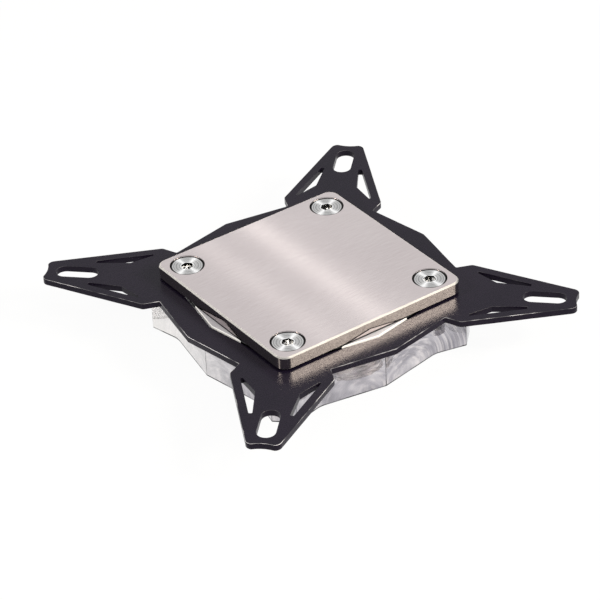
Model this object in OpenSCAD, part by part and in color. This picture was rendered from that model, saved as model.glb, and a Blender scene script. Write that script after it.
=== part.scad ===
// CPU water block, lying on the port face of its clear top with the cold plate up.
// The arms of the bracket run along X and Y. The cold plate is turned by 45 degrees between them.
// The origin is at the middle of the port face and +Z is the way the contact face looks.

/* [Cold plate] */
// Side of the square cold plate
plate_side = 50; // [49:0.5:54]
// Thickness of the cold plate
plate_t = 3; // [2.6:0.1:4]
// Radius of the corners of the cold plate
plate_corner_r = 2.5; // [1:0.1:4]
// Chamfer round the contact face
plate_chamfer = 0.3; // [0.1:0.05:0.6]

/* [Micro channels] */
// Distance from the side of the cold plate to the square field of fins
fin_margin = 13; // [12.4:0.1:15]
// Thickness of one fin
fin_t = 0.4; // [0.3:0.05:0.8]
// Width of the channel between two fins
fin_gap = 0.4; // [0.3:0.05:0.8]
// Height of the fins
fin_h = 1.8; // [1:0.1:2]
// Length by which a channel runs out past each end of the jet plate
channel_runout = 1.4; // [0.8:0.1:1.8]

/* [Screws] */
// Distance from the side of the cold plate to the middle of a screw
screw_inset = 5.35; // [5:0.05:5.6]
// Diameter of the screw thread
screw_d = 4; // [3:0.5:4]
// Length of the screw with its head
screw_len = 12; // [10:1:13]
// Diameter of the flat head
head_d = 7.5; // [7:0.1:7.8]
// Height of the straight rim of the head
head_rim = 0.3; // [0.1:0.05:0.4]
// Depth of the head below the contact face
head_sink = 0.2; // [0.1:0.05:0.3]
// Size of the hexagon socket across its flats
socket_af = 2.5; // [2:0.5:3]
// Depth of the hexagon socket
socket_depth = 1.5; // [1:0.1:1.8]
// Gap between the cone of the head and its seat
head_gap = 0.05; // [0.02:0.01:0.1]
// Gap between the rim of the head and the wall round it
rim_gap = 0.2; // [0.1:0.01:0.25]
// Radial clearance of the screw in the plate and in the bracket
screw_clear = 0.25; // [0.15:0.05:0.4]
// Radial clearance of the screw in its tapped hole
thread_clear = 0.05; // [0.02:0.01:0.1]
// Spare depth of the tapped hole below the screw
tap_spare = 1; // [0.5:0.1:1.5]
// Chamfer at the tip of the screw
tip_chamfer = 0.5; // [0.2:0.1:0.8]

/* [Bracket frame] */
// Thickness of the bracket sheet
bracket_t = 1.5; // [1.2:0.1:2.5]
// Gap between the bracket and the cold plate
bracket_gap = 0.5; // [0.3:0.1:1]
// Distance that the opening shows past the middle of each side of the plate
opening_margin = 2.1; // [1.5:0.1:3]
// Angle by which each half side leans out to the middle of its side
side_bow = 10.5; // [6:0.5:13]
// Width of the bars of the frame
bar_w = 5.85; // [4:0.05:7]
// Radius of the lug round each screw
lug_r = 4.6; // [4:0.1:4.8]

/* [Bracket arms] */
// Side of the smallest square of board holes that the slots reach
board_min = 72; // [70:1:75]
// Side of the largest square of board holes that the slots reach
board_max = 80; // [78:1:84]
// Width of the slots
slot_w = 4.3; // [4.2:0.1:4.6]
// Wall between the end of a slot and the tip of the arm
tip_wall = 2.5; // [2:0.1:4]
// Wall beside the slot at the tip
tip_side = 1.4; // [1.2:0.1:2.2]
// Radius of the corners of the tip
tip_r = 1.6; // [0.8:0.1:2]
// Depth of the hollow in the end of the tip
dent_depth = 0.4; // [0.2:0.05:0.8]
// Radius of the hollow in the end of the tip
dent_r = 8; // [6:0.5:12]
// Distance from the corner of the cold plate to the shoulder of the arm
shoulder_out = 0.75; // [0:0.05:2]
// Half width of the arm at the shoulder
shoulder_half = 11.6; // [10.5:0.1:12.5]
// Radius of the shoulder
shoulder_r = 1.2; // [0.6:0.1:2]
// Angle between the neck of the arm and its centre line
neck_angle = 22; // [16:1:28]
// Radius in the corner between neck and frame
neck_r = 0.4; // [0.2:0.1:1]
// Width of the rail outside each window
rail_w = 2; // [1.6:0.1:2.8]
// Distance from the shoulder to the start of the window
window_start = 0.2; // [0:0.1:1]
// Distance from the shoulder to the knee of the window
window_knee = 6.2; // [5:0.1:8]
// Half distance between the knees of the two windows
knee_half = 4.9; // [4.6:0.1:6]
// Half distance between the ends of the two windows
web_half = 4.1; // [3.8:0.1:4.3]
// Distance from the end of the window to the middle of the inner end of the slot
window_end = 0.6; // [0:0.1:2]
// Radius of the corners of the window
window_r = 0.3; // [0.1:0.05:0.4]

/* [Clear top] */
// Thickness of the clear top under the bracket
top_t = 11; // [10.5:0.5:14]
// Gap between the boss and the opening of the bracket
boss_gap = 0.4; // [0.2:0.1:0.6]
// Gap between the boss and the cold plate where the boss shows in the opening
boss_drop = 0.3; // [0.1:0.05:0.5]
// Distance from the side of the cold plate to the raised pad that it lies on
pad_inset = 0.9; // [0.6:0.1:2]
// Distance that the clear top reaches past the opening at the middle of each side
top_margin = 1.75; // [1:0.05:3]
// Distance from the corner of the cold plate to the end of an ear
ear_out = 0.95; // [0.2:0.05:2]
// Half width of the end of an ear
ear_half = 2.85; // [2:0.05:4]
// Angle between the flank of the ear and the centre line of the arm
ear_angle = 31.5; // [28:0.5:36]
// Radius of the hollow where the ear runs into the side
ear_blend = 6; // [3:0.5:8]

/* [Water ports] */
// Diameter of the wall of a quarter inch pipe thread port
port_d = 11.8; // [11.4:0.1:12]
// Depth of the ports
port_depth = 8; // [7:0.1:8.2]
// Distance between the two ports
port_pitch = 24; // [23.6:0.1:25]
// Chamfer at the mouth of the ports
port_chamfer = 0.5; // [0.3:0.1:0.8]

/* [Water ways] */
// Width of the jet plate beyond the fins on each side
jet_margin = 0.7; // [0.4:0.05:1]
// Thickness of the jet plate
jet_t = 0.5; // [0.3:0.1:0.8]
// Radius of the corners of the jet plate and of its gasket
jet_corner_r = 0.6; // [0.3:0.1:1]
// Width of the slit in the jet plate
slit_w = 1.2; // [0.8:0.1:2]
// Length by which the slit stops short of the fins at each end
slit_short = 2; // [1.5:0.1:3]
// Thickness of the gasket under the jet plate
gasket_t = 1; // [0.6:0.1:1.4]
// Width of the window in the gasket
gasket_slit_w = 3; // [2.5:0.1:3.6]
// Width of the jet chamber
chamber_w = 4; // [3.8:0.1:5]
// Depth to which the jet chamber cuts past the end of the inlet port
chamber_bite = 2.5; // [1.5:0.1:3.5]
// Width of the duct from the inlet port to the jet chamber
duct_w = 6; // [4:0.1:6.4]
// Wall between the end of the duct and the edge of the gasket's seat
duct_wall = 0.9; // [0.6:0.1:2]
// Gap between the corners of the jet plate and the wall of the channel round it
jet_clear = 0.15; // [0.1:0.05:0.3]
// Width of the channel round the jet plate
channel_w = 2.1; // [1.8:0.1:2.4]
// Depth of that channel below the seat of the gasket
channel_drop = 1.5; // [1:0.1:1.8]
// Length by which the gasket reaches out past its seat
seat_inset = 0.8; // [0.5:0.1:1.2]
// Radius of the corners of the gasket's seat
seat_r = 6; // [4:0.5:7]

/* [Seal] */
// Width of the groove for the seal
groove_w = 2.4; // [2.2:0.05:2.5]
// Depth of the groove, which is the height of the squeezed seal
groove_depth = 1.5; // [1.2:0.1:1.7]
// Gap between the squeezed seal and each wall of its groove
seal_clear = 0.1; // [0.05:0.05:0.2]
// Wall between the channel and the groove
groove_wall = 1; // [0.8:0.05:1.1]

/* [Hidden] */
$fn = 64;

// Length by which a cut runs past the face that it opens in
over = 1;
// Number of arms, and the angle from one arm to the next
arms = 4;
arm_step = 360 / arms;
// Angle of the cold plate, its ports and its fins between the arms
plate_turn = -45;
// Number of flats on the round part of a bent outline
arc_steps = 6;
// Corners of a hexagon socket
hexagon = 6;
// Lean of a half side from the centre line of the next arm
side_lean = 45 + side_bow;

// Heights, from the port face up
bracket_z = top_t;
plate_z = bracket_z + bracket_t + bracket_gap;
plate_top = plate_z + plate_t;
seat_z = plate_z - jet_t - gasket_t;
channel_z = seat_z - channel_drop;
chamber_z = port_depth - chamber_bite;

// Places of the screws, measured along an arm
screw_r = (plate_side / 2 - screw_inset) * sqrt(2);
plate_reach = plate_side / sqrt(2);

// Countersink in the plate, a cone along the cone of the head with a short straight wall above it
hole_r = screw_d / 2 + screw_clear;
sink_r = head_d / 2 + head_sink + head_rim + head_gap;
rim_r = head_d / 2 + rim_gap;
tap_r = screw_d / 2 + thread_clear;
tap_bottom = plate_top - head_sink - screw_len - tap_spare;

// Middle of each side of the opening, of the boss, of its pad, of the frame and of the clear top
opening_mid = plate_side / 2 + opening_margin;
boss_mid = opening_mid - boss_gap / cos(side_bow);
pad_mid = plate_side / 2 - pad_inset;
frame_mid = opening_mid + bar_w / cos(side_bow);
top_mid = opening_mid + top_margin;

// Board holes, measured along an arm
slot_start = board_min / sqrt(2);
slot_stop = board_max / sqrt(2);
tip_u = slot_stop + slot_w / 2 + tip_wall;
tip_half = slot_w / 2 + tip_side;
shoulder_u = plate_reach + shoulder_out;
flank_angle = atan2(shoulder_half - tip_half, tip_u - shoulder_u);
ear_u = plate_reach + ear_out;

// Water ways, as half widths from the middle of the plate
fin_field = plate_side - 2 * fin_margin;
jet_half = fin_field / 2 + jet_margin;
channel_half = jet_half + channel_w;
jet_reach = (jet_half - jet_corner_r) * sqrt(2) + jet_corner_r;
channel_r = (channel_half * sqrt(2) - jet_reach - jet_clear) / (sqrt(2) - 1);
seat_half = jet_half - seat_inset;
groove_in = channel_half + groove_wall;
groove_out = groove_in + groove_w;
groove_in_r = channel_r + groove_wall;
groove_out_r = groove_in_r + groove_w;
seal_half = groove_in + groove_w / 2;
seal_path_r = groove_in_r + groove_w / 2;
seal_w = groove_w - 2 * seal_clear;
slit_len = fin_field - 2 * slit_short;
port_r = port_d / 2;
port_x = port_pitch / 2;
duct_len = seat_half - duct_wall - duct_w / 4;

// Fins, spread evenly over their field
fin_pitch = fin_t + fin_gap;
channels = floor((fin_field + fin_t) / fin_pitch);
channel_len = 2 * (jet_half + channel_runout);

// Point at a distance from the origin, on the line that halves the angle between two arms
function between(distance) = [distance / sqrt(2), distance / sqrt(2)];

function direction(angle) = [cos(angle), sin(angle)];

function cross_2d(a, b) = a.x * b.y - a.y * b.x;

function unit(v) = v / norm(v);

function turned(p, angle) = [
    p.x * cos(angle) - p.y * sin(angle),
    p.x * sin(angle) + p.y * cos(angle),
    p.z
];

function flipped(p) = [p.x, -p.y, p.z];

// Point where a line through p meets a line through q, each given with its angle
function meeting(p, p_angle, q, q_angle) =
    let (a = direction(p_angle), b = direction(q_angle))
    p + a * cross_2d(q - p, b) / cross_2d(a, b);

// Points of one corner, rounded to the radius in its third value
function rounded_corner(before, corner, after) =
    let (
        tip = [corner.x, corner.y],
        to_before = unit([before.x, before.y] - tip),
        to_after = unit([after.x, after.y] - tip),
        half_angle = acos(to_before * to_after) / 2,
        centre = tip + unit(to_before + to_after) * corner.z / sin(half_angle),
        start = tip + to_before * corner.z / tan(half_angle) - centre,
        side = sign(cross_2d(to_after, to_before)),
        sweep = side * (180 - 2 * half_angle)
    )
    corner.z == 0 ? [tip] : [
        for (i = [0 : arc_steps])
            let (angle = atan2(start.y, start.x) + sweep * i / arc_steps)
            centre + corner.z * direction(angle)
    ];

// Closed outline with each corner [x, y, radius] rounded
function rounded_outline(corners) =
    let (n = len(corners))
    [
        for (i = [0 : n - 1])
            each rounded_corner(corners[(i + n - 1) % n], corners[i], corners[(i + 1) % n])
    ];

// The corners of half an arm, then of its mirror image, once for every arm.
// The ridge lies between two arms, so each arm brings only one.
function four_arms(half_arm, ridge) = [
    for (k = [0 : arms - 1])
        let (n = len(half_arm))
        each concat(
            [for (i = [n - 1 : -1 : 0]) turned(flipped(half_arm[i]), k * arm_step)],
            [for (p = half_arm) turned(p, k * arm_step)],
            [turned(ridge, k * arm_step)]
        )
];

// Inner edge of the rail at a distance along the arm
function rail_inside(u) =
    shoulder_half - (u - shoulder_u) * tan(flank_angle) - rail_w / cos(flank_angle);

// Ring of children, one for each arm
module on_arms() {
    for (k = [0 : arms - 1])
        rotate(k * arm_step)
            children();
}

// Pieces that lie square with the cold plate
module on_plate() {
    rotate(plate_turn)
        children();
}

// Prism with four bowed sides, so eight flats in all
module bowed_square(mid, height) {
    ridge = between(mid);
    corner = meeting(ridge, -side_lean, [0, 0], 0);
    linear_extrude(height)
        polygon([
            for (k = [0 : arms - 1])
                for (p = [[corner.x, corner.y, 0], [ridge.x, ridge.y, 0]])
                    let (q = turned(p, k * arm_step))
                    [q.x, q.y]
        ]);
}

// Square block with round corners
module rounded_block(half, r, height) {
    linear_extrude(height)
        union() {
            square([2 * half, 2 * (half - r)], center = true);
            square([2 * (half - r), 2 * half], center = true);
            for (x = [-1, 1])
                for (y = [-1, 1])
                    translate([x * (half - r), y * (half - r)])
                        circle(r);
        }
}

// Long hole with round ends, its length along Y
module long_hole(length, width, height) {
    run = length - width;
    translate([-width / 2, -run / 2, 0])
        cube([width, run, height]);
    for (side = [-1, 1])
        translate([0, side * run / 2, 0])
            cylinder(d = width, h = height);
}

// Rounded tongue round each screw, open to the outside of the frame
module lugs(r, height) {
    on_arms()
        translate([screw_r, 0, 0]) {
            cylinder(r = r, h = height);
            translate([0, -r, 0])
                cube([plate_side / 2, 2 * r, height]);
        }
}

// Sweep of a section round a square path with round corners
module round_square_path(half, r) {
    for (k = [0 : 3])
        rotate(k * 90) {
            translate([half - r, half - r, 0])
                rotate_extrude(angle = 90)
                    translate([r, 0])
                        children();
            translate([half, 0, 0])
                rotate([90, 0, 0])
                    linear_extrude(2 * (half - r), center = true)
                        children();
        }
}

// One bar of the cold plate, with the chamfer of the contact face along both sides
module chamfered_bar() {
    half = plate_side / 2;
    rotate([90, 0, 0])
        linear_extrude(plate_side - 2 * plate_corner_r, center = true)
            polygon([
                [-half, 0],
                [half, 0],
                [half, plate_t - plate_chamfer],
                [half - plate_chamfer, plate_t],
                [plate_chamfer - half, plate_t],
                [-half, plate_t - plate_chamfer]
            ]);
}

module plate_blank() {
    corner = plate_side / 2 - plate_corner_r;
    chamfered_bar();
    rotate(90)
        chamfered_bar();
    for (x = [-corner, corner])
        for (y = [-corner, corner])
            translate([x, y, 0]) {
                cylinder(r = plate_corner_r, h = plate_t - plate_chamfer);
                translate([0, 0, plate_t - plate_chamfer])
                    cylinder(r1 = plate_corner_r, r2 = plate_corner_r - plate_chamfer, h = plate_chamfer);
            }
}

// Saw cuts that leave the fins standing, open towards the clear top
module fin_channels() {
    for (i = [0 : channels - 1])
        translate([-channel_len / 2, (i - (channels - 1) / 2) * fin_pitch - fin_gap / 2, -over])
            cube([channel_len, fin_gap, fin_h + over]);
}

module screw_sink() {
    translate([0, 0, -over])
        cylinder(r = hole_r, h = plate_t + 2 * over);
    translate([0, 0, plate_t - (sink_r - hole_r)])
        cylinder(r1 = hole_r, r2 = rim_r, h = rim_r - hole_r);
    translate([0, 0, plate_t - (sink_r - rim_r)])
        cylinder(r = rim_r, h = sink_r - rim_r + over);
}

module cold_plate() {
    color([0.8, 0.76, 0.75])
        translate([0, 0, plate_z])
            difference() {
                on_plate()
                    plate_blank();
                on_plate()
                    fin_channels();
                on_arms()
                    translate([screw_r, 0, 0])
                        screw_sink();
            }
}

module bracket_blank() {
    shoulder = [shoulder_u, shoulder_half];
    ridge = between(frame_mid);
    neck = meeting(shoulder, neck_angle, ridge, -side_lean);
    linear_extrude(bracket_t)
        polygon(rounded_outline(four_arms(
            [
                [tip_u, tip_half, tip_r],
                [shoulder.x, shoulder.y, shoulder_r],
                [neck.x, neck.y, neck_r]
            ],
            [ridge.x, ridge.y, 0]
        )));
}

// One of the two thin windows of an arm
module arm_window() {
    start = shoulder_u + window_start;
    stop = slot_start - window_end;
    translate([0, 0, -over])
        linear_extrude(bracket_t + 2 * over)
            polygon(rounded_outline([
                [start, rail_inside(start), window_r],
                [shoulder_u + window_knee, knee_half, window_r],
                [stop, web_half, window_r],
                [stop, rail_inside(stop), window_r]
            ]));
}

module arm_cuts() {
    translate([(slot_start + slot_stop) / 2, 0, -over])
        rotate(90)
            long_hole(slot_stop - slot_start + slot_w, slot_w, bracket_t + 2 * over);
    arm_window();
    mirror([0, 1, 0])
        arm_window();
    translate([screw_r, 0, -over])
        cylinder(r = hole_r, h = bracket_t + 2 * over);
    translate([tip_u - dent_depth + dent_r, 0, -over])
        cylinder(r = dent_r, h = bracket_t + 2 * over);
}

module mounting_bracket() {
    color([0.16, 0.15, 0.18])
        translate([0, 0, bracket_z])
            difference() {
                bracket_blank();
                translate([0, 0, -over])
                    difference() {
                        bowed_square(opening_mid, bracket_t + 2 * over);
                        lugs(lug_r, bracket_t + 2 * over);
                    }
                on_arms()
                    arm_cuts();
            }
}

module top_blank() {
    ear = [ear_u, ear_half];
    ridge = between(top_mid);
    blend = meeting(ear, 180 - ear_angle, ridge, -side_lean);
    linear_extrude(top_t)
        polygon(rounded_outline(four_arms(
            [[ear.x, ear.y, 0], [blend.x, blend.y, ear_blend]],
            [ridge.x, ridge.y, 0]
        )));
}

// Boss in the opening of the bracket, and the pad on it that carries the cold plate
module top_boss() {
    difference() {
        union() {
            bowed_square(boss_mid, plate_z - boss_drop);
            bowed_square(pad_mid, plate_z);
        }
        translate([0, 0, top_t])
            lugs(lug_r + boss_gap, plate_z);
    }
}

module seal_groove() {
    translate([0, 0, plate_z - groove_depth])
        difference() {
            rounded_block(groove_out, groove_out_r, groove_depth + over);
            rounded_block(groove_in, groove_in_r, groove_depth + over);
        }
}

// Channel round the jet plate, which gathers the warm water, and the seat that it leaves
module return_channel() {
    translate([0, 0, channel_z])
        difference() {
            rounded_block(channel_half, channel_r, plate_z - channel_z + over);
            rounded_block(seat_half, seat_r, seat_z - channel_z);
        }
    translate([seat_half, -port_r / sqrt(2), port_depth])
        cube([channel_half - seat_half, port_r * sqrt(2), channel_z - port_depth + over]);
}

// Chamber under the slit, and the duct that brings the cold water to it
module jet_chamber() {
    height = seat_z - chamber_z + over;
    translate([0, 0, chamber_z]) {
        long_hole(slit_len, chamber_w, height);
        translate([-duct_len / 2, 0, 0])
            rotate(90)
                long_hole(duct_len + duct_w / 2, duct_w, height);
    }
}

module port() {
    translate([0, 0, -over])
        cylinder(r = port_r, h = port_depth + over);
    translate([0, 0, -over])
        cylinder(r1 = port_r + port_chamfer + over, r2 = port_r, h = port_chamfer + over);
}

module clear_top() {
    color([0.86, 0.88, 0.9, 0.4])
        difference() {
            union() {
                top_blank();
                top_boss();
            }
            on_plate() {
                seal_groove();
                return_channel();
                jet_chamber();
                for (side = [-1, 1])
                    translate([side * port_x, 0, 0])
                        port();
            }
            on_arms()
                translate([screw_r, 0, tap_bottom])
                    cylinder(r = tap_r, h = plate_z);
        }
}

module jet_plate() {
    color([0.7, 0.71, 0.73])
        translate([0, 0, plate_z - jet_t])
            on_plate()
                difference() {
                    rounded_block(jet_half, jet_corner_r, jet_t);
                    translate([0, 0, -over])
                        long_hole(slit_len, slit_w, jet_t + 2 * over);
                }
}

module jet_gasket() {
    color([0.2, 0.2, 0.21])
        translate([0, 0, seat_z])
            on_plate()
                difference() {
                    rounded_block(jet_half, jet_corner_r, gasket_t);
                    translate([0, 0, -over])
                        long_hole(slit_len, gasket_slit_w, gasket_t + 2 * over);
                }
}

// Squeezed section of the seal, flat where it meets the groove and the plate
module seal_section() {
    flat = seal_w - groove_depth;
    translate([0, groove_depth / 2]) {
        square([flat, groove_depth], center = true);
        for (side = [-1, 1])
            translate([side * flat / 2, 0])
                circle(d = groove_depth);
    }
}

module plate_seal() {
    color([0.1, 0.1, 0.1])
        translate([0, 0, plate_z - groove_depth])
            on_plate()
                round_square_path(seal_half, seal_path_r)
                    seal_section();
}

// Countersunk screw with a hexagon socket, its thread as a plain shank
module plate_screw(arm) {
    head_r = head_d / 2;
    shank_r = screw_d / 2;
    cone_h = head_r - shank_r;
    cone_z = screw_len - head_rim - cone_h;
    socket_r = socket_af / sqrt(3);
    color([0.82, 0.82, 0.84])
        rotate(arm * arm_step)
            translate([screw_r, 0, plate_top - head_sink - screw_len])
                difference() {
                    union() {
                        cylinder(r1 = shank_r - tip_chamfer, r2 = shank_r, h = tip_chamfer);
                        translate([0, 0, tip_chamfer])
                            cylinder(r = shank_r, h = screw_len - tip_chamfer - head_rim);
                        translate([0, 0, cone_z])
                            cylinder(r1 = shank_r, r2 = head_r, h = cone_h);
                        translate([0, 0, screw_len - head_rim])
                            cylinder(r = head_r, h = head_rim);
                    }
                    translate([0, 0, screw_len - socket_depth])
                        cylinder(r = socket_r, h = socket_depth + over, $fn = hexagon);
                }
}

clear_top();
mounting_bracket();
cold_plate();
jet_plate();
jet_gasket();
plate_seal();
for (arm = [0 : arms - 1])
    plate_screw(arm);
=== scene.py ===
import math
from functools import reduce

import bmesh
import bpy
from mathutils import Matrix, Vector
from mathutils.bvhtree import BVHTree


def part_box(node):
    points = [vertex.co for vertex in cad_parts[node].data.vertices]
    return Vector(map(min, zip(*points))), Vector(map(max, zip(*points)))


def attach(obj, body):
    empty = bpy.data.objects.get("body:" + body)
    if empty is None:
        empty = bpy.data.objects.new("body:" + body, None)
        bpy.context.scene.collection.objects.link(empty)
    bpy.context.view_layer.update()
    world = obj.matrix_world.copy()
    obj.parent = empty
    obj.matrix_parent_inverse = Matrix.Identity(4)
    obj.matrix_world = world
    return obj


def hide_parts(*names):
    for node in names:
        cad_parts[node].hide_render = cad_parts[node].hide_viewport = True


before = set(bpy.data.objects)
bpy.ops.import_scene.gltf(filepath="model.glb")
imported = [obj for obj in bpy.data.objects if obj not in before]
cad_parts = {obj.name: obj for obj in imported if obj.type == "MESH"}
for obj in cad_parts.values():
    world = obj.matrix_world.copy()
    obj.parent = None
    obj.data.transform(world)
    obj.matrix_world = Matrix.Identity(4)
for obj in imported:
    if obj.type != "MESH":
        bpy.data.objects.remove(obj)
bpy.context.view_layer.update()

MM = 0.001
BODY = "root"
UP = Vector((0, 0, 1))
WHITE = (1, 1, 1, 1)

# Camera: the angles and the distance that put the four arm slots where the photo has them
CAMERA_AZIMUTH = math.radians(10.889)
CAMERA_ELEVATION = math.radians(33.853)
CAMERA_ROLL = math.radians(-2.967)
CAMERA_DISTANCE = 705.0 * MM
CAMERA_RIGHT = -1.898 * MM
CAMERA_UP = -3.552 * MM
CAMERA_LENS = 186.49
SENSOR_WIDTH = 36
CLIP_START = 0.01
CLIP_END = 20

# Lamps round the part: name, azimuth and elevation in degrees, size in metres, power in watts and
# colour
LAMP_DISTANCE = 0.9
LAMPS = (
    ("key", 79, 34, (0.3, 0.32), 11.5, (1, 0.92, 0.78)),
    ("front", 15, 58, (0.3, 0.3), 1.3, (1, 0.98, 0.95)),
    ("fill", -50, 34, (0.12, 0.3), 4.2, (1, 0.93, 0.82)),
)

# Narrow lamps that the plate mirrors as stripes: name, place of the stripe across the plate, power
STRIPES = (("stripe", 1.5 * MM, 0.0034), ("side_stripe", -12 * MM, 0.0016))
STRIPE_DISTANCE = 0.16
STRIPE_SIZE = (0.3, 3 * MM)
STRIPE_COLOUR = (1, 0.97, 0.93)

# Strength of the white world where it is seen, and where it only lights the part
WORLD_SEEN = 1.0
WORLD_LIGHT = 0.45

# The floor cuts this far into the foot of the clear top, so the white floor shows through it
FLOOR_Z = 0.05 * MM
FLOOR_HALF = 4.0

# Share of the floor's even white where it is seen, and where it is seen through clear plastic
FLOOR_SEEN = 0.94
FLOOR_THROUGH = 0.95

# The cold plate is square with these two directions, and its side is twice PLATE_HALF
PLATE_TURN = math.radians(-45)
PLATE_X = Vector((math.cos(PLATE_TURN), math.sin(PLATE_TURN), 0))
PLATE_Y = Vector((-math.sin(PLATE_TURN), math.cos(PLATE_TURN), 0))
PLATE_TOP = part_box("cold_plate")[1].z
PLATE_HALF = 25.0 * MM

# Least roughness of the plate, and what its bevels and chamfers add to that
NICKEL_ROUGHNESS = 0.07
CHAMFER_ROUGHNESS = 0.7

BRACKET_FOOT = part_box("mounting_bracket")[0].z
BRACKET_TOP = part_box("mounting_bracket")[1].z

# Air left between the clear top and what it touches, so that it looks dry
AIR_GAP = 0.03 * MM
ACRYLIC_IOR = 1.49

# Height above which the clear top is its boss, and how far in under the plate the boss is seen
BOSS_START = BRACKET_FOOT + 0.5 * MM
SEEN_UNDER = 3.0 * MM
BOSS_ROUGHNESS = 0.5

# Height of the painted shade line along the foot of the clear top
FOOT_SHADE_HEIGHT = 0.42 * MM

# Share of light that doesn't pass the boss, the threads of the ports and the milled sides
BOSS_MATT = 0.9
PORT_MATT = 0.22
SIDE_MATT = 0.2

# The cutter's arcs: how much flatter than round they are, how much finer across than along, and
# their share in the tone of the sides
ARC_STRETCH = (1, 1, 1.6)
ARC_FINENESS = 7
ARC_SHARE = 0.55

# Distance from the middle of the part to the axis of each water port, the size of a port, and how
# far its colour reaches past its thread
PORT_REACH = 12.0 * MM
PORT_RADIUS = 5.9 * MM
PORT_DEPTH = 8.0 * MM
PORT_MARGIN = 0.2 * MM

# Pitch and depth of the thread in the ports, which is a quarter inch parallel pipe thread
PORT_PITCH = 1.337 * MM
PORT_THREAD = 0.6 * MM

# Distance from the middle of the part to the axis of each screw, all four of which lie on an arm
SCREW_NODES = [f"plate_screw_{number}" for number in range(1, 5)]
SCREW_LOW, SCREW_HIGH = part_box(SCREW_NODES[0])
SCREW_REACH = (SCREW_LOW.x + SCREW_HIGH.x) / 2

HEAD_RADIUS = (SCREW_HIGH.x - SCREW_LOW.x) / 2
HEAD_TOP = SCREW_HIGH.z

# How far from its axis the recess of a screw ends, and the rim and the outer edge of the head start
SINK_REACH = HEAD_RADIUS + 0.6 * MM
HEAD_RIM_START = HEAD_RADIUS - 1 * MM
HEAD_EDGE_START = HEAD_RADIUS - 0.3 * MM

# The socket of a screw, and how far down its walls are all dark
SOCKET_RADIUS = 1.45 * MM
SOCKET_MOUTH = 0.45 * MM

# The thread of the screws, M4
SHANK_RADIUS = 2.0 * MM
SCREW_PITCH = 0.7 * MM
SCREW_THREAD = 0.4 * MM

# Distance from one turned ring to the next on the heads of the screws
RING_PITCH = 0.42 * MM

# Painted highlights in wedges on the turned heads: directions from +X, strength, and how narrow they
# are
PAINTED_WEDGE_ANGLES = (math.radians(71), math.radians(140))
PAINTED_WEDGE_STRENGTH = 0.9
PAINTED_WEDGE_POWER = 40

# Widths of the softened edges. The bracket's outline and the outer edge of a screw's head are wider
# than the other edges of these pieces
PLATE_EDGE = 0.05 * MM
OUTLINE_EDGE = 0.2 * MM
CUTOUT_EDGE = 0.12 * MM
TOP_EDGE = 0.12 * MM
HEAD_EDGE = 0.14 * MM
SCREW_EDGE = 0.05 * MM

# Name of the face attribute that marks the faces that soften an edge, and its weak value
EDGE = "edge"
FAINT = 0.1

# The Z of a normal, without its sign: upright faces have less than UPRIGHT and level ones at least
# LEVEL
UPRIGHT = 0.1
LEVEL = 0.99

# Points nearer than these are joined, before and after a mesh is changed
JOIN_DISTANCE = 0.002 * MM
SAME_PLACE = 0.0001 * MM

# Faces that turn by less than this many degrees are one flat face
FLAT_ANGLE = 0.5

# How far the points of a round wall may lie from its radius, and the rows of points in one turn
WALL_SLACK = 0.02 * MM
THREAD_LEVELS = 8

# How near to a cut a point lies on it
CUT_TOLERANCE = 0.0001 * MM


# Camera and light

def camera_axes():
    """Right, up and back of the camera, in the frame of the part."""
    cos_e = math.cos(CAMERA_ELEVATION)
    back = Vector((
        math.sin(CAMERA_AZIMUTH) * cos_e,
        -math.cos(CAMERA_AZIMUTH) * cos_e,
        math.sin(CAMERA_ELEVATION),
    ))
    level_right = Vector((math.cos(CAMERA_AZIMUTH), math.sin(CAMERA_AZIMUTH), 0))
    level_up = back.cross(level_right)
    right = level_right * math.cos(CAMERA_ROLL) + level_up * math.sin(CAMERA_ROLL)
    up = level_up * math.cos(CAMERA_ROLL) - level_right * math.sin(CAMERA_ROLL)
    return right, up, back


def placed(place, axes):
    """The matrix of an object at place whose X, Y and Z are the three axes."""
    return Matrix.Translation(place) @ Matrix(axes).transposed().to_4x4()


def add_camera():
    """Adds the camera and returns its place."""
    right, up, back = camera_axes()
    place = right * CAMERA_RIGHT + up * CAMERA_UP + back * CAMERA_DISTANCE
    place.z += BRACKET_TOP
    data = bpy.data.cameras.new("camera")
    data.sensor_width = SENSOR_WIDTH
    data.lens = CAMERA_LENS
    data.clip_start = CLIP_START
    data.clip_end = CLIP_END
    camera = bpy.data.objects.new("camera", data)
    camera.matrix_world = placed(place, (right, up, back))
    bpy.context.scene.collection.objects.link(camera)
    bpy.context.scene.camera = camera
    return place


def add_lamp(name, place, aim, size, power, colour, along=None):
    """An area lamp at place that shines at aim. along is the direction of its first side."""
    data = bpy.data.lights.new(name, "AREA")
    data.shape = "RECTANGLE"
    data.size, data.size_y = size
    data.energy = power
    data.color = colour
    lamp = bpy.data.objects.new(name, data)
    back = (place - aim).normalized()
    side = (UP.cross(back) if along is None else along).normalized()
    side = (side - back * side.dot(back)).normalized()
    lamp.matrix_world = placed(place, (side, back.cross(side), back))
    lamp.visible_camera = False
    bpy.context.scene.collection.objects.link(lamp)


def towards(azimuth, elevation, distance):
    """A place round the part. Azimuth 0 is in front of it, on -Y, and 90 is to the right, on +X."""
    a, e = math.radians(azimuth), math.radians(elevation)
    return Vector((
        math.sin(a) * math.cos(e) * distance,
        -math.cos(a) * math.cos(e) * distance,
        math.sin(e) * distance,
    ))


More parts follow.
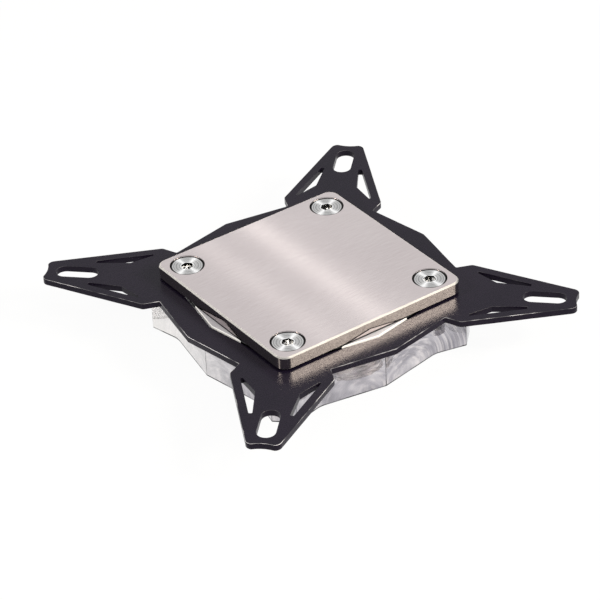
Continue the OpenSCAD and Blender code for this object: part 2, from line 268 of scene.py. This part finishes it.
def add_lights(camera_place):
    """Adds the lamps round the part, and those whose mirror images are the stripes on the plate."""
    middle = Vector((0, 0, PLATE_TOP))
    for name, azimuth, elevation, size, power, colour in LAMPS:
        add_lamp(name, towards(azimuth, elevation, LAMP_DISTANCE), middle, size, power, colour)
    for name, across, power in STRIPES:
        aim = middle + PLATE_Y * across
        view = (aim - camera_place).normalized()
        mirrored = view - 2 * view.dot(UP) * UP
        place = aim + mirrored * STRIPE_DISTANCE
        add_lamp(name, place, aim, STRIPE_SIZE, power, STRIPE_COLOUR, PLATE_X)


# Node helpers

class Nodes:
    """Short forms for the nodes that the materials are made of."""

    def __init__(self, tree):
        self.tree = tree

    def link(self, source, target):
        self.tree.links.new(source, target)

    def add(self, kind, **values):
        node = self.tree.nodes.new(kind)
        for key, value in values.items():
            setattr(node, key, value)
        return node

    def place(self, stretch=(1, 1, 1), turn=0.0):
        """Position on the part in metres, turned about Z and then stretched."""
        coordinate = self.add("ShaderNodeTexCoord")
        turned = self.add("ShaderNodeMapping")
        turned.inputs["Rotation"].default_value = (0, 0, -turn)
        self.link(coordinate.outputs["Object"], turned.inputs["Vector"])
        mapping = self.add("ShaderNodeMapping")
        mapping.inputs["Scale"].default_value = stretch
        self.link(turned.outputs[0], mapping.inputs["Vector"])
        return mapping.outputs[0]

    def split(self, vector):
        """The X, Y and Z of a vector."""
        node = self.add("ShaderNodeSeparateXYZ")
        self.link(vector, node.inputs[0])
        return node.outputs

    def length(self, vector):
        node = self.add("ShaderNodeVectorMath", operation="LENGTH")
        self.link(vector, node.inputs[0])
        return node.outputs["Value"]

    def true_normal(self):
        return self.add("ShaderNodeNewGeometry").outputs["True Normal"]

    def levelness(self):
        """1 on level faces, 0 on upright ones, and the cosine of the slope between them."""
        return self.math("ABSOLUTE", self.split(self.true_normal())[2])

    def facing_up(self):
        """1 on level faces that look up, 0 on upright ones."""
        return self.ranged(self.split(self.true_normal())[2], 0, 1, source=(0.75, 0.95))

    def facing_out(self):
        """1 on upright faces, 0 on level ones."""
        return self.ranged(self.levelness(), 1, 0, source=(0.3, 0.8))

    def on_slope(self):
        """1 on the small bevels between level and upright faces, 0 on both of those."""
        levelness = self.levelness()
        return self.product(self.above(levelness, UPRIGHT), self.below(levelness, LEVEL))

    def on_edge(self):
        """1 on the faces that soften an edge, FAINT on those whose edge is weakly marked."""
        return self.add("ShaderNodeAttribute", attribute_name=EDGE).outputs["Fac"]

    def from_screw_axis(self):
        """Position in metres from the axis of the nearest screw, and the distance to it."""
        coordinate = self.add("ShaderNodeTexCoord")
        flat = self.add("ShaderNodeVectorMath", operation="MULTIPLY")
        flat.inputs[1].default_value = (1, 1, 0)
        self.link(coordinate.outputs["Object"], flat.inputs[0])
        wrap = self.add("ShaderNodeVectorMath", operation="WRAP")
        half = SCREW_REACH / 2
        wrap.inputs[1].default_value = (half, half, 1)
        wrap.inputs[2].default_value = (-half, -half, -1)
        self.link(flat.outputs[0], wrap.inputs[0])
        return wrap.outputs[0], self.length(wrap.outputs[0])

    def noise(self, vector, scale, detail=2.0, roughness=0.5, distortion=0.0):
        node = self.add("ShaderNodeTexNoise")
        self.link(vector, node.inputs["Vector"])
        node.inputs["Scale"].default_value = scale
        node.inputs["Detail"].default_value = detail
        node.inputs["Roughness"].default_value = roughness
        node.inputs["Distortion"].default_value = distortion
        return node.outputs["Fac"]

    def ranged(self, value, low, high, source=(0.0, 1.0)):
        """low where value is the first number of source, high where it is the second."""
        node = self.add("ShaderNodeMapRange")
        self.link(value, node.inputs["Value"])
        node.inputs["From Min"].default_value = source[0]
        node.inputs["From Max"].default_value = source[1]
        node.inputs["To Min"].default_value = low
        node.inputs["To Max"].default_value = high
        return node.outputs[0]

    def ramp(self, value, stops):
        """A colour that runs through the stops, each of them a value and its colour."""
        node = self.add("ShaderNodeValToRGB")
        self.link(value, node.inputs[0])
        elements = node.color_ramp.elements
        elements[0].position, elements[0].color = stops[0]
        elements[1].position, elements[1].color = stops[-1]
        for position, colour in stops[1:-1]:
            element = elements.new(position)
            element.color = colour
        return node.outputs[0]

    def math(self, operation, a, b=None):
        node = self.add("ShaderNodeMath", operation=operation)
        for socket, value in zip(node.inputs, (a, b)):
            if isinstance(value, (int, float)):
                socket.default_value = value
            elif value is not None:
                self.link(value, socket)
        return node.outputs[0]

    def above(self, value, limit):
        return self.math("GREATER_THAN", value, limit)

    def below(self, value, limit):
        return self.math("LESS_THAN", value, limit)

    def product(self, *values):
        return reduce(lambda a, b: self.math("MULTIPLY", a, b), values)

    def largest(self, *values):
        return reduce(lambda a, b: self.math("MAXIMUM", a, b), values)

    def blend(self, a, b, share):
        """share of value a and the rest of value b."""
        rest = self.math("SUBTRACT", 1, share)
        return self.math("ADD", self.product(a, share), self.product(b, rest))

    def cross(self, a, b):
        """Cross product of two vectors, one of which can be a constant."""
        node = self.add("ShaderNodeVectorMath", operation="CROSS_PRODUCT")
        for socket, value in zip(node.inputs, (a, b)):
            if isinstance(value, Vector):
                socket.default_value = value
            else:
                self.link(value, socket)
        return node.outputs[0]

    def mix(self, factor, a, b):
        """Colour a where factor is 0 and colour b where it is 1."""
        node = self.add("ShaderNodeMix", data_type="RGBA")
        self.link(factor, node.inputs[0])
        for socket, value in ((node.inputs[6], a), (node.inputs[7], b)):
            if isinstance(value, tuple):
                socket.default_value = value
            else:
                self.link(value, socket)
        return node.outputs[2]

    def bump(self, height, depth):
        """A bump whose full height is depth, in metres."""
        node = self.add("ShaderNodeBump")
        node.inputs["Strength"].default_value = 1.0
        node.inputs["Distance"].default_value = depth
        self.link(height, node.inputs["Height"])
        return node.outputs[0]

    def rays(self, *kinds):
        """1 on rays of any of these kinds, such as Camera."""
        path = self.add("ShaderNodeLightPath")
        return self.largest(*(path.outputs[f"Is {kind} Ray"] for kind in kinds))

    def background(self, strength):
        node = self.add("ShaderNodeBackground")
        node.inputs["Color"].default_value = WHITE
        node.inputs["Strength"].default_value = strength
        return node.outputs[0]

    def see_through(self):
        return self.add("ShaderNodeBsdfTransparent").outputs[0]

    def mix_shaders(self, share, a, b):
        """Shader a where share is 0 and shader b where it is 1."""
        node = self.add("ShaderNodeMixShader")
        for socket, source in zip(node.inputs, (share, a, b)):
            self.link(source, socket)
        return node.outputs[0]

    def show(self, surface):
        """Makes surface what the material shows."""
        output = next(node for node in self.tree.nodes if node.type == "OUTPUT_MATERIAL")
        self.link(surface, output.inputs[0])


def grey(value, warm=0.0):
    """A grey colour. warm is the share by which its red is stronger and its blue weaker."""
    return (value * (1 + warm), value, value * (1 - warm), 1)


# Painted shade: the dark painted where a narrow gap or a deep socket lies in shade
PAINTED_SHADE = grey(0.02)


# Materials

def new_material(name):
    """A material that shows one Principled shader, the form for its nodes, and that shader."""
    material = bpy.data.materials.new(name)
    material.use_nodes = True
    n = Nodes(material.node_tree)
    n.tree.nodes.clear()
    n.add("ShaderNodeOutputMaterial")
    shader = n.add("ShaderNodeBsdfPrincipled")
    n.show(shader.outputs[0])
    return material, n, shader


def nickel_material():
    """Nickel plate: the top is lapped with a fine grain across the plate, the sides are smooth."""
    material, n, shader = new_material("lapped_nickel")
    grain = n.noise(n.place((14, 1, 1), PLATE_TURN), scale=260)
    side_grain = n.noise(n.place((1, 1, 9), PLATE_TURN), scale=420)
    cloud = n.noise(n.place(), scale=38)
    lapped = n.ramp(n.blend(grain, cloud, share=0.5), [
        (0.3, (0.53, 0.475, 0.475, 1)),
        (0.7, (0.60, 0.545, 0.545, 1)),
    ])
    slope = n.on_slope()
    chamfer = n.ramp(grain, [(0.3, grey(0.40, 0.02)), (0.7, grey(0.50, 0.02))])
    colour = n.mix(slope, lapped, chamfer)

    # The recesses of the screws are painted dark, as painted shade of their gaps
    radius = n.from_screw_axis()[1]
    height = n.split(n.place())[2]
    painted_sink_shade = n.product(n.below(radius, SINK_REACH), n.largest(slope, n.below(height, HEAD_TOP)))
    n.link(n.mix(painted_sink_shade, colour, PAINTED_SHADE), shader.inputs["Base Color"])

    shader.inputs["Metallic"].default_value = 1.0
    lapping = n.product(n.ranged(cloud, 0.03, 0.05), n.facing_up())
    smooth = n.math("ADD", lapping, NICKEL_ROUGHNESS)
    rough = n.math("ADD", smooth, n.product(slope, CHAMFER_ROUGHNESS))
    n.link(rough, shader.inputs["Roughness"])
    shader.inputs["Anisotropic"].default_value = 0.9
    n.link(n.cross(n.true_normal(), PLATE_Y), shader.inputs["Tangent"])
    side_marks = n.product(side_grain, n.facing_out())
    n.link(n.bump(side_marks, depth=0.001 * MM), shader.inputs["Normal"])
    return material


def coating_material():
    """Black satin coating: a fine grain that sparkles in a highlight, and edges painted lighter,
    partly as wear of the coat and partly as a painted highlight.
    """
    material, n, shader = new_material("black_coating")
    speck = n.noise(n.place(), scale=4200, detail=1)
    patch = n.noise(n.place(), scale=60)
    black = n.ramp(n.blend(speck, patch, share=0.6), [
        (0.35, (0.004, 0.003, 0.008, 1)),
        (0.65, (0.009, 0.006, 0.014, 1)),
    ])
    rubbed_and_highlit = n.ramp(n.noise(n.place(), scale=190, roughness=0.6), [
        (0.38, (0.03, 0.03, 0.034, 1)),
        (0.50, (0.20, 0.20, 0.215, 1)),
        (0.64, (0.75, 0.75, 0.79, 1)),
    ])
    # Partly painted highlight: the bevels of the outline are painted light, as wear and as the
    # highlight they catch
    wear_and_painted_light = n.product(n.on_slope(), n.on_edge())
    n.link(n.mix(wear_and_painted_light, black, rubbed_and_highlit), shader.inputs["Base Color"])
    n.link(n.ranged(speck, 0.17, 0.37, source=(0.3, 0.7)), shader.inputs["Roughness"])
    shader.inputs["Specular IOR Level"].default_value = 0.11
    n.link(n.bump(speck, depth=0.02 * MM), shader.inputs["Normal"])
    return material


def on_arcs(n, across, along):
    """A place for noise that makes it run along circles round the middle of the part's foot."""
    place = n.add("ShaderNodeCombineXYZ")
    n.link(n.product(n.length(n.place(ARC_STRETCH)), ARC_FINENESS), place.inputs[0])
    n.link(across, place.inputs[1])
    n.link(along, place.inputs[2])
    return place.outputs[0]


def acrylic_material():
    """Clear cast acrylic with the arcs of the milling cutter on its sides and a matt milled boss."""
    material, n, shader = new_material("clear_acrylic")
    shader.inputs["IOR"].default_value = ACRYLIC_IOR
    across, along, height = n.split(n.place(turn=PLATE_TURN))
    side = n.facing_out()
    cloud = n.noise(n.place(), scale=150)
    arc_place = on_arcs(n, across, along)
    arcs = n.noise(arc_place, scale=230, roughness=0.6, distortion=0.15)
    streak = n.noise(arc_place, scale=430, detail=3, roughness=0.55)

    # The boss in the bracket's openings. The part of it under the plate's rim gets painted shade, as
    # the plate shades it
    reach = n.largest(n.math("ABSOLUTE", across), n.math("ABSOLUTE", along))
    on_boss = n.product(n.above(reach, PLATE_HALF - SEEN_UNDER), n.above(height, BOSS_START))
    boss_top = n.product(n.facing_up(), on_boss)
    boss_wall = n.product(n.largest(side, n.on_edge()), n.above(height, BRACKET_FOOT))
    painted_plate_shade = n.product(on_boss, n.below(reach, PLATE_HALF))

    # The walls of the two ports with their threads
    from_port = n.math("SUBTRACT", n.math("ABSOLUTE", across), PORT_REACH)
    squares = n.math("ADD", n.math("POWER", from_port, 2), n.math("POWER", along, 2))
    port_radius = n.math("SQRT", squares)
    in_port = n.product(
        n.below(port_radius, PORT_RADIUS + PORT_THREAD + PORT_MARGIN),
        n.above(port_radius, PORT_RADIUS - PORT_MARGIN),
        n.below(height, PORT_DEPTH),
    )

    # Painted shade: thin dark lines painted along the foot and along the other edges below the
    # bracket
    foot_fade = n.ranged(cloud, 0.6, 1.0, source=(0.38, 0.5))
    painted_foot_shade = n.product(side, n.below(height, FOOT_SHADE_HEIGHT), foot_fade)
    edge_fade = n.ranged(streak, 0.6, 1.0, source=(0.4, 0.6))
    painted_edge_shade = n.product(n.on_edge(), n.below(height, BRACKET_FOOT), edge_fade)
    dark = n.largest(painted_edge_shade, painted_plate_shade, painted_foot_shade)

    # The arcs are strong on the side at -Y of the plate and towards its +Y, and weak between them
    strong = n.largest(
        n.ranged(along, 0.25, 1.0, source=(-10 * MM, 4 * MM)),
        n.ranged(along, 0.85, 0, source=(-26 * MM, -22 * MM)),
    )
    tone = n.blend(arcs, cloud, share=n.product(strong, ARC_SHARE))
    haze = n.ramp(tone, [
        (0.36, (0.075, 0.069, 0.087, 1)),
        (0.48, (0.185, 0.173, 0.205, 1)),
        (0.64, (0.47, 0.44, 0.48, 1)),
    ])

    # Light and deep streaks follow the arcs
    light = n.product(strong, n.ranged(streak, 0, 0.45, source=(0.52, 0.70)))
    haze = n.mix(light, haze, (0.78, 0.71, 0.72, 1))
    deep = n.product(strong, n.ranged(streak, 0.45, 0, source=(0.32, 0.46)))
    haze = n.mix(deep, haze, (0.10, 0.09, 0.13, 1))

    # Painted light: the corner on -X is painted lighter than the rest, as the light through it shows
    painted_light_corner = n.ranged(n.math("ADD", across, along), 0.8, 0, source=(-55 * MM, -15 * MM))
    haze = n.mix(n.product(painted_light_corner, side), haze, (1.0, 0.97, 0.94, 1))

    boss = n.ramp(cloud, [(0.3, (0.34, 0.335, 0.36, 1)), (0.7, (0.46, 0.455, 0.48, 1))])
    colour = n.mix(side, grey(0.98), haze)
    # Partly painted light: the milled threads of the ports are frosted and lighter, and their warm
    # tint is painted light seen through them
    colour = n.mix(in_port, colour, (1.0, 0.93, 0.87, 1))
    colour = n.mix(boss_top, colour, boss)
    colour = n.mix(boss_wall, colour, grey(0.95))
    # Painted shade: the dark lines and the strip under the plate's rim are painted near black
    colour = n.mix(dark, colour, (0.001, 0.001, 0.0012, 1))
    n.link(colour, shader.inputs["Base Color"])

    matt = n.largest(
        n.product(n.largest(boss_top, boss_wall), BOSS_MATT),
        n.product(in_port, PORT_MATT),
    )
    clear = n.math("SUBTRACT", n.math("SUBTRACT", 1, matt), n.product(side, SIDE_MATT))
    n.link(clear, shader.inputs["Transmission Weight"])
    rough = n.largest(
        n.product(n.ranged(tone, 0.06, 0.16), side),
        n.product(boss_top, BOSS_ROUGHNESS),
    )
    n.link(rough, shader.inputs["Roughness"])
    n.link(n.bump(n.product(arcs, side), depth=0.05 * MM), shader.inputs["Normal"])

    # Rays from lamps go straight through, so that the plastic isn't dark inside
    n.show(n.mix_shaders(n.rays("Shadow"), shader.outputs[0], n.see_through()))
    return material


def screw_material():
    """Turned stainless steel: rings round the axis of each screw spread its highlights in wedges,
    and wedges of highlight are also painted on the heads.
    """
    material, n, shader = new_material("turned_steel")
    place, radius = n.from_screw_axis()
    x, y, _ = n.split(place)
    height = n.split(n.place())[2]
    grain = n.noise(n.place(), scale=2600, roughness=0.6)
    level = n.facing_up()

    # The face of the head, with its rings, its painted highlights in wedges, and painted shade at
    # its outer edge
    rings = n.ramp(n.product(radius, 1 / HEAD_RADIUS), [
        (0.42, grey(0.80)), (0.47, grey(0.20)), (0.52, grey(0.50)), (0.64, grey(0.42)),
        (0.68, grey(0.16)), (0.73, grey(0.50)), (0.80, grey(0.42)), (0.84, grey(0.18)),
        (0.88, grey(0.60)), (0.91, grey(0.60)), (0.925, PAINTED_SHADE),
    ])
    angle = n.math("ARCTAN2", y, x)
    wedges = []
    for turn in PAINTED_WEDGE_ANGLES:
        cosine = n.math("COSINE", n.math("SUBTRACT", angle, turn))
        wedges.append(n.math("POWER", n.math("ABSOLUTE", cosine), PAINTED_WEDGE_POWER))
    wear_and_painted_light = n.mix(n.ranged(grain, 0, 0.35), rings, grey(0.4))
    face = n.mix(n.product(n.largest(*wedges), PAINTED_WEDGE_STRENGTH), wear_and_painted_light, grey(0.97))

    # Painted shade and highlight: the walls of the socket are painted dark at its mouth as shade,
    # and with light and dark patches below as glints
    walls = n.product(n.math("SUBTRACT", 1, level), n.below(radius, SOCKET_RADIUS))
    mouth = n.above(height, HEAD_TOP - SOCKET_MOUTH)
    facet = n.noise(n.place(), scale=1100, detail=1)
    painted_socket_glints = n.ramp(facet, [(0.45, grey(0.03)), (0.55, grey(0.95))])
    colour = n.mix(walls, face, n.mix(mouth, painted_socket_glints, PAINTED_SHADE))
    # Painted shade: the outer edge of the head is painted dark, as the shade in the gap round it
    rim = n.product(n.on_edge(), n.above(radius, HEAD_RIM_START))
    n.link(n.mix(rim, colour, PAINTED_SHADE), shader.inputs["Base Color"])

    shader.inputs["Metallic"].default_value = 1.0
    shader.inputs["Anisotropic"].default_value = 0.75
    n.link(n.cross(UP, place), shader.inputs["Tangent"])
    n.link(n.ranged(grain, 0.2, 0.32), shader.inputs["Roughness"])
    ridges = n.math("SINE", n.product(radius, 2 * math.pi / RING_PITCH))
    n.link(n.bump(n.product(ridges, level), depth=0.004 * MM), shader.inputs["Normal"])
    return material


def sheet_steel_material():
    """Plain stainless sheet with the fine lines of rolling."""
    material, n, shader = new_material("stainless_sheet")
    grain = n.noise(n.place((1, 20, 1), PLATE_TURN), scale=300, detail=4, roughness=0.6)
    colour = n.ramp(grain, [(0.3, (0.46, 0.46, 0.47, 1)), (0.7, (0.62, 0.62, 0.63, 1))])
    n.link(colour, shader.inputs["Base Color"])
    shader.inputs["Metallic"].default_value = 1.0
    n.link(n.ranged(grain, 0.25, 0.4), shader.inputs["Roughness"])
    return material


def rubber_material(name, dark, light):
    """Matt rubber with a fine grain between a dark and a lighter grey."""
    material, n, shader = new_material(name)
    grain = n.noise(n.place(), scale=1800, detail=3, roughness=0.6)
    n.link(n.ramp(grain, [(0.35, grey(dark)), (0.65, grey(light))]), shader.inputs["Base Color"])
    n.link(n.ranged(grain, 0.45, 0.6), shader.inputs["Roughness"])
    n.link(n.bump(grain, depth=0.01 * MM), shader.inputs["Normal"])
    return material


def floor_material():
    """White, lit evenly where the camera, a mirror or clear plastic looks, and open from below."""
    material, n, shader = new_material("floor_white")
    shader.inputs["Roughness"].default_value = 0.9
    white = n.ramp(n.noise(n.place(), scale=6), [(0.3, grey(0.80)), (0.7, grey(0.82))])
    n.link(white, shader.inputs["Base Color"])
    glow = n.add("ShaderNodeEmission")
    glow.inputs["Color"].default_value = WHITE
    share = n.largest(
        n.product(n.rays("Camera", "Glossy"), FLOOR_SEEN),
        n.product(n.rays("Transmission"), FLOOR_THROUGH),
    )
    top = n.mix_shaders(share, shader.outputs[0], glow.outputs[0])
    from_below = n.add("ShaderNodeNewGeometry").outputs["Backfacing"]
    n.show(n.mix_shaders(from_below, top, n.see_through()))
    return material


# Meshes

def joined_copy(node):
    """The node's mesh with its doubled points joined and its flat faces whole, as a bmesh."""
    bm = bmesh.new()
    bm.from_mesh(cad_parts[node].data)
    bmesh.ops.remove_doubles(bm, verts=bm.verts, dist=JOIN_DISTANCE)
    bmesh.ops.dissolve_limit(
        bm, angle_limit=math.radians(FLAT_ANGLE), verts=bm.verts, edges=bm.edges)
    return bm


def soften_edges(bm, width, angle, segments=1, wanted=None, strength=1.0):
    """Rounds every edge at which the surface turns by more than angle degrees, and marks it.

    With wanted, it rounds only the edges for which that function says so."""
    mark = bm.faces.layers.float.get(EDGE) or bm.faces.layers.float.new(EDGE)
    sharp = [
        e for e in bm.edges
        if len(e.link_faces) == 2 and e.calc_face_angle() > math.radians(angle)
        and (wanted is None or wanted(e))
    ]
    rounded = bmesh.ops.bevel(
        bm, geom=sharp, offset=width, offset_type="OFFSET", segments=segments,
        profile=0.5, affect="EDGES", clamp_overlap=True)
    for face in rounded["faces"]:
        face[mark] = strength
    bm.normal_update()


def cut_thread(bm, axis, radius, pitch, depth):
    """Cuts a screw thread into the round wall at radius from an upright axis.

    The points of the wall move by up to depth away from the axis, or towards it where depth is
    negative. Those on the rim of the wall stay."""
    def away(v):
        return Vector((v.co.x - axis.x, v.co.y - axis.y, 0))

    wall = [
        f for f in bm.faces
        if abs(f.normal.z) < UPRIGHT
        and all(abs(away(v).length - radius) < WALL_SLACK for v in f.verts)
    ]
    low = min(v.co.z for f in wall for v in f.verts)
    high = max(v.co.z for f in wall for v in f.verts)
    step = pitch / THREAD_LEVELS
    geom = list(dict.fromkeys(part for f in wall for part in (f, *f.edges, *f.verts)))
    for level in range(1, int((high - low) / step)):
        cut = bmesh.ops.bisect_plane(
            bm, geom=geom, plane_co=(0, 0, low + level * step), plane_no=UP, dist=CUT_TOLERANCE)
        geom = cut["geom"]
    wall = {part for part in geom if isinstance(part, bmesh.types.BMFace)}
    inner = [v for v in bm.verts if v.link_faces and all(f in wall for f in v.link_faces)]
    for v in inner:
        out = away(v)
        turns = v.co.z / pitch - math.atan2(out.y, out.x) / math.tau
        crest = abs(2 * (turns % 1) - 1)
        fade = min(1, (v.co.z - low) / pitch, (high - v.co.z) / pitch)
        v.co += out.normalized() * depth * (1 - crest) * fade
    bm.normal_update()


def add_piece(name, bm, material, replaced, smooth=30):
    """Makes bm a piece that replaces a node. Edges sharper than smooth degrees stay sharp."""
    bmesh.ops.dissolve_degenerate(bm, dist=SAME_PLACE, edges=bm.edges)
    mesh = bpy.data.meshes.new(name)
    bm.to_mesh(mesh)
    bm.free()
    mesh.polygons.foreach_set("use_smooth", [True] * len(mesh.polygons))
    mesh.set_sharp_from_angle(angle=math.radians(smooth))
    mesh.materials.append(material)
    piece = bpy.data.objects.new(name, mesh)
    bpy.context.scene.collection.objects.link(piece)
    flat = piece.modifiers.new("flat_faces", "WEIGHTED_NORMAL")
    flat.keep_sharp = True
    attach(piece, BODY)
    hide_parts(replaced)


def paint_node(node, material):
    """Gives a node that keeps its own mesh a material."""
    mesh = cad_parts[node].data
    mesh.materials.clear()
    mesh.materials.append(material)


# The pieces

def add_cold_plate():
    """The cold plate with a fine bevel on its edges."""
    bm = joined_copy("cold_plate")
    soften_edges(bm, PLATE_EDGE, angle=40)
    add_piece("plate_lapped", bm, nickel_material(), "cold_plate")


def looks_inward(tree, face):
    """True for the wall of a cut-out, from which a line square to it meets the sheet again."""
    start = face.calc_center_median() + face.normal * 0.01 * MM
    return tree.ray_cast(start, face.normal)[0] is not None


def add_bracket():
    """The outline of the sheet is painted bright, as wear and as a painted highlight, and the edges
    of its cut-outs stay black.
    """
    bm = joined_copy("mounting_bracket")
    tree = BVHTree.FromBMesh(bm)

    def on_outline(edge):
        walls = [f for f in edge.link_faces if abs(f.normal.z) < 0.5]
        return bool(walls) and not any(looks_inward(tree, f) for f in walls)

    soften_edges(bm, OUTLINE_EDGE, angle=50, segments=2, wanted=on_outline)
    soften_edges(bm, CUTOUT_EDGE, angle=50, strength=FAINT)
    add_piece("bracket_coated", bm, coating_material(), "mounting_bracket")


def add_clear_top():
    """The clear top with threads in its ports, drawn in by AIR_GAP all over."""
    bm = joined_copy("clear_top")
    soften_edges(bm, TOP_EDGE, angle=20)
    for side in (PORT_REACH, -PORT_REACH):
        cut_thread(bm, PLATE_X * side, PORT_RADIUS, PORT_PITCH, PORT_THREAD)
    moved = [v.co - v.normal * AIR_GAP * v.calc_shell_factor() for v in bm.verts]
    for v, co in zip(bm.verts, moved):
        v.co = co
    add_piece("top_clear", bm, acrylic_material(), "clear_top", smooth=15)


def on_head_edge(edge):
    """True on the outer edge of a screw's head."""
    flat = [Vector((abs(v.co.x), abs(v.co.y), 0)) for v in edge.verts]
    axis = Vector((SCREW_REACH, 0, 0)) if flat[0].x > flat[0].y else Vector((0, SCREW_REACH, 0))
    return all((v - axis).length > HEAD_EDGE_START for v in flat)


def add_screws():
    """The four screws, with the threads on their shanks."""
    material = screw_material()
    for number, node in enumerate(SCREW_NODES, start=1):
        low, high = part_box(node)
        bm = joined_copy(node)
        soften_edges(bm, HEAD_EDGE, angle=30, wanted=on_head_edge)
        soften_edges(bm, SCREW_EDGE, angle=30, strength=FAINT)
        cut_thread(bm, (low + high) / 2, SHANK_RADIUS, SCREW_PITCH, -SCREW_THREAD)
        add_piece(f"screw_turned_{number}", bm, material, node)


# The stage

def add_floor():
    """A level square on which the part stands."""
    bm = bmesh.new()
    corners = ((-1, -1), (1, -1), (1, 1), (-1, 1))
    bm.faces.new([bm.verts.new((x * FLOOR_HALF, y * FLOOR_HALF, FLOOR_Z)) for x, y in corners])
    mesh = bpy.data.meshes.new("floor")
    bm.to_mesh(mesh)
    bm.free()
    mesh.materials.append(floor_material())
    floor = bpy.data.objects.new("floor", mesh)
    bpy.context.scene.collection.objects.link(floor)


def add_world():
    """An even white studio that is weaker as a light than as a background."""
    world = bpy.data.worlds.new("studio")
    bpy.context.scene.world = world
    world.use_nodes = True
    n = Nodes(world.node_tree)
    n.tree.nodes.clear()
    output = n.add("ShaderNodeOutputWorld")
    seen = n.rays("Camera", "Transmission", "Glossy")
    sky = n.mix_shaders(seen, n.background(WORLD_LIGHT), n.background(WORLD_SEEN))
    n.link(sky, output.inputs[0])


scene = bpy.context.scene
scene.view_settings.view_transform = "Standard"
camera_place = add_camera()
add_world()
add_floor()
add_lights(camera_place)

add_cold_plate()
add_bracket()
add_clear_top()
add_screws()
paint_node("jet_plate", sheet_steel_material())
paint_node("jet_gasket", rubber_material("silicone", 0.03, 0.05))
paint_node("plate_seal", rubber_material("seal_rubber", 0.008, 0.014))
